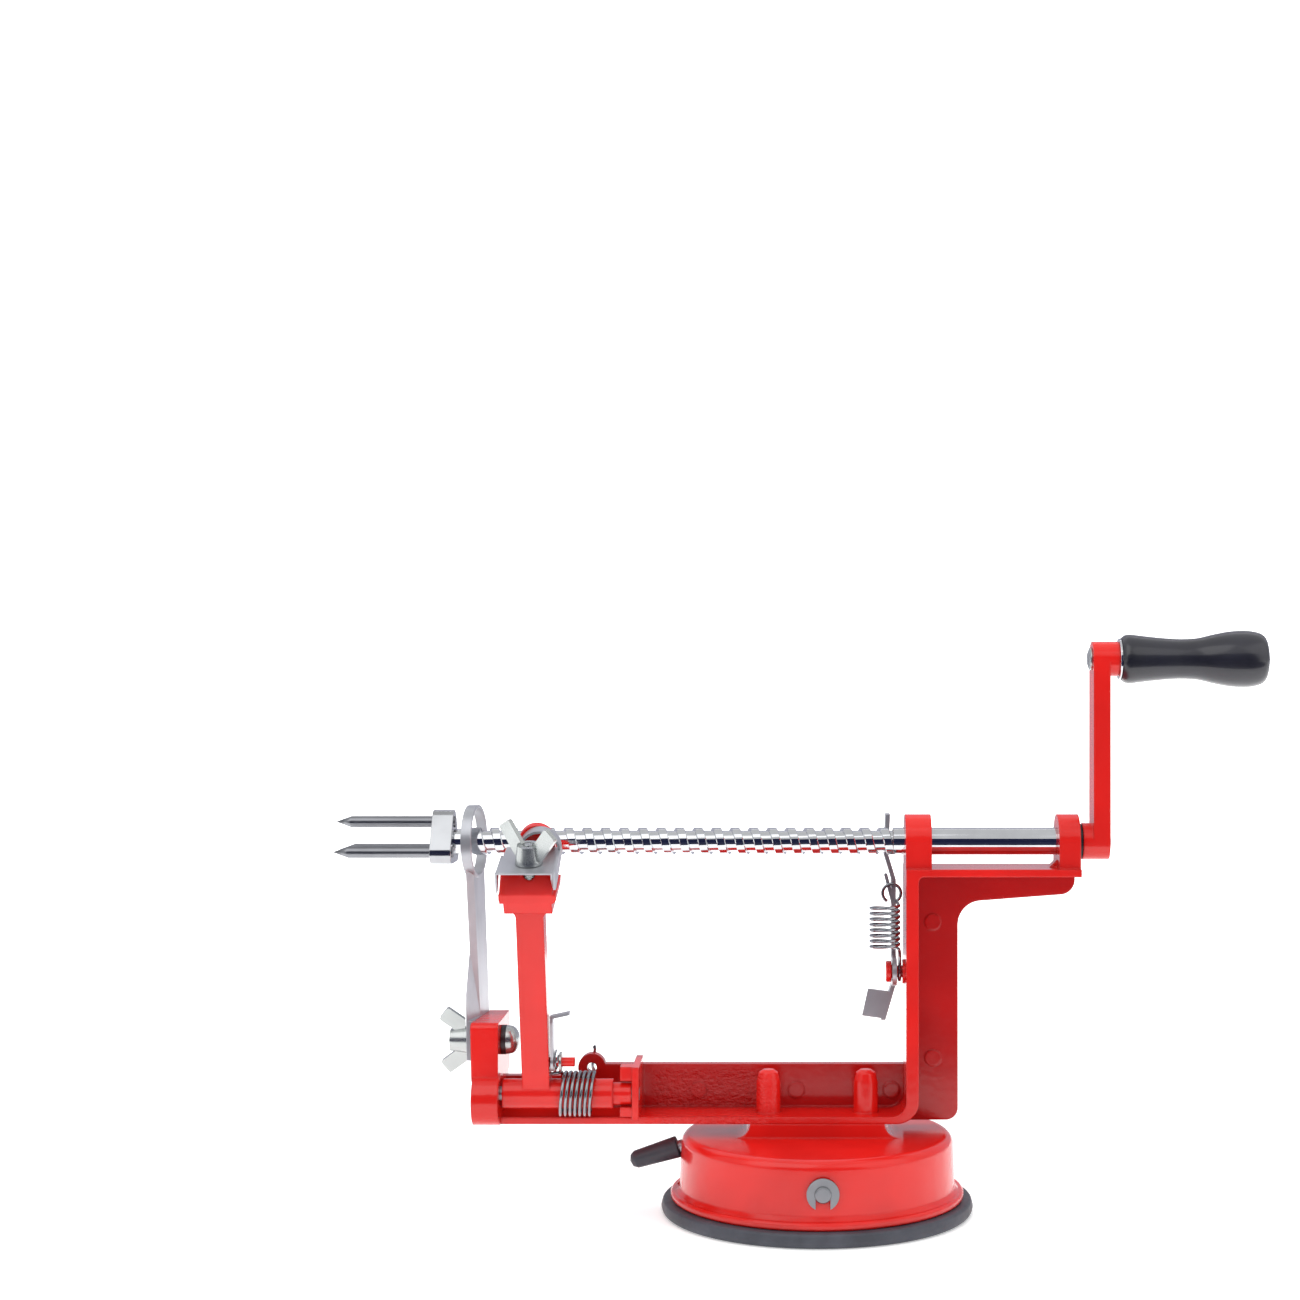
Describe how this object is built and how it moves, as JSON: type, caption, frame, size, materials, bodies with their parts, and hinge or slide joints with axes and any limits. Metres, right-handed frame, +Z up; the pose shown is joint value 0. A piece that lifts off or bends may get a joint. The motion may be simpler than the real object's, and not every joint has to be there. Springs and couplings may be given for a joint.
{
  "type": "apple peeler",
  "caption": "Hand cranked apple peeler, corer and slicer: red cast frame on a suction base, threaded feed shaft with fork, sprung peeling arm and ring blade.",
  "frame": {"origin": "centre of the rubber pad's underside, on the table", "axes": "+X along the feed shaft towards the crank, +Z up, and -Y towards the viewer who faces the peeling arm"},
  "size_m": [0.3081, 0.1024, 0.1908],
  "materials": {
    "red_enamel": "gloss red enamel over casting, slightly orange-peeled",
    "pad_rubber": "dark grey rubber",
    "sleeve_rubber": "dark grey soft sleeve",
    "grip_gloss": "black lacquered turned grip",
    "chrome": "bright chrome",
    "steel": "satin stamped steel",
    "zinc": "zinc-plated fasteners and wire",
    "black_washer": "black washer",
    "dark_steel": "darkened washer"
  },
  "bodies": {
    "frame": {"frame": "red_enamel", "base_housing": "red_enamel", "base_screws": "zinc", "suction_pad": "pad_rubber", "cam_pin": "zinc", "cam_clips": "zinc", "release_stud": "red_enamel", "arm_pin": "steel", "arm_spring": "zinc", "coring_blade": "steel", "coring_bolt": "zinc", "bolt_washer": "dark_steel"},
    "suction_lever": {"suction_lever": "steel", "lever_sleeve": "sleeve_rubber", "draw_pin": "zinc"},
    "lift": {"lift_stem": "steel"},
    "carriage": {"thrust_washer": "black_washer"},
    "shaft": {"feed_shaft": "chrome", "fork_hub": "chrome", "fork_tines": "steel", "crank_arm": "red_enamel", "handle_spindle": "zinc", "grip_washer": "chrome"},
    "grip": {"handle_grip": "grip_gloss"},
    "release": {"release_lever": "steel", "release_spring": "zinc"},
    "arm": {"peeling_arm": "red_enamel", "latch_washer": "zinc", "latch_spring": "zinc", "blade_bracket": "steel", "peeling_blade": "chrome", "blade_screw": "zinc"},
    "latch": {"latch_lever": "steel"},
    "blade_nut": {"blade_wing_nut": "zinc"},
    "coring_nut": {"coring_wing_nut": "zinc"}
  },
  "joints": [
    {"name": "lever_press", "type": "hinge", "parent": "frame", "child": "suction_lever", "pos_m": [0.0013, 0, 0.0158], "axis": [0, -1, 0], "range_deg": [0, 9.5]},
    {"name": "stem_lift", "type": "slide", "parent": "frame", "child": "lift", "axis": [0, 0, 1], "range_m": [0, 0.00125]},
    {"name": "shaft_feed", "type": "slide", "parent": "frame", "child": "carriage", "axis": [1, 0, 0], "range_m": [0, 0.1282]},
    {"name": "shaft_spin", "type": "hinge", "parent": "carriage", "child": "shaft", "pos_m": [0.09, 0, 0.1214], "axis": [1, 0, 0], "range_deg": [0, 7560]},
    {"name": "grip_spin", "type": "hinge", "parent": "shaft", "child": "grip", "pos_m": [0.1, 0, 0.1815], "axis": [1, 0, 0], "continuous": true},
    {"name": "release_tilt", "type": "hinge", "parent": "frame", "child": "release", "pos_m": [0.0255, 0, 0.0784], "axis": [-1, 0, 0], "range_deg": [0, 6], "stiffness_Nm_per_rad": 0.5, "springref_deg": -5.73},
    {"name": "arm_swing", "type": "hinge", "parent": "frame", "child": "arm", "pos_m": [-0.09, -0.0116, 0.0404], "axis": [1, 0, 0], "range_deg": [0, 40], "stiffness_Nm_per_rad": 0.2, "springref_deg": -28.65, "deforming": ["arm_spring"]},
    {"name": "latch_tilt", "type": "hinge", "parent": "arm", "child": "latch", "pos_m": [-0.0857, -0.01437, 0.05116], "axis": [1, 0, 0], "range_deg": [-8, 15], "stiffness_Nm_per_rad": 0.05},
    {"name": "blade_nut_turn", "type": "hinge", "parent": "arm", "child": "blade_nut", "pos_m": [-0.0907, -0.03624, 0.11757], "axis": [0, -0.2924, 0.9563], "range_deg": [-180, 180]},
    {"name": "coring_nut_turn", "type": "hinge", "parent": "frame", "child": "coring_nut", "pos_m": [-0.114, -0.005, 0.0568], "axis": [-1, 0, 0], "range_deg": [-180, 180]}
  ],
  "couplings": [
    {"joint": "shaft_feed", "follows": "shaft_spin", "m_per_rad": 0.00097085},
    {"joint": "lever_press", "follows": "stem_lift", "rad_per_m": 132.6}
  ]
}
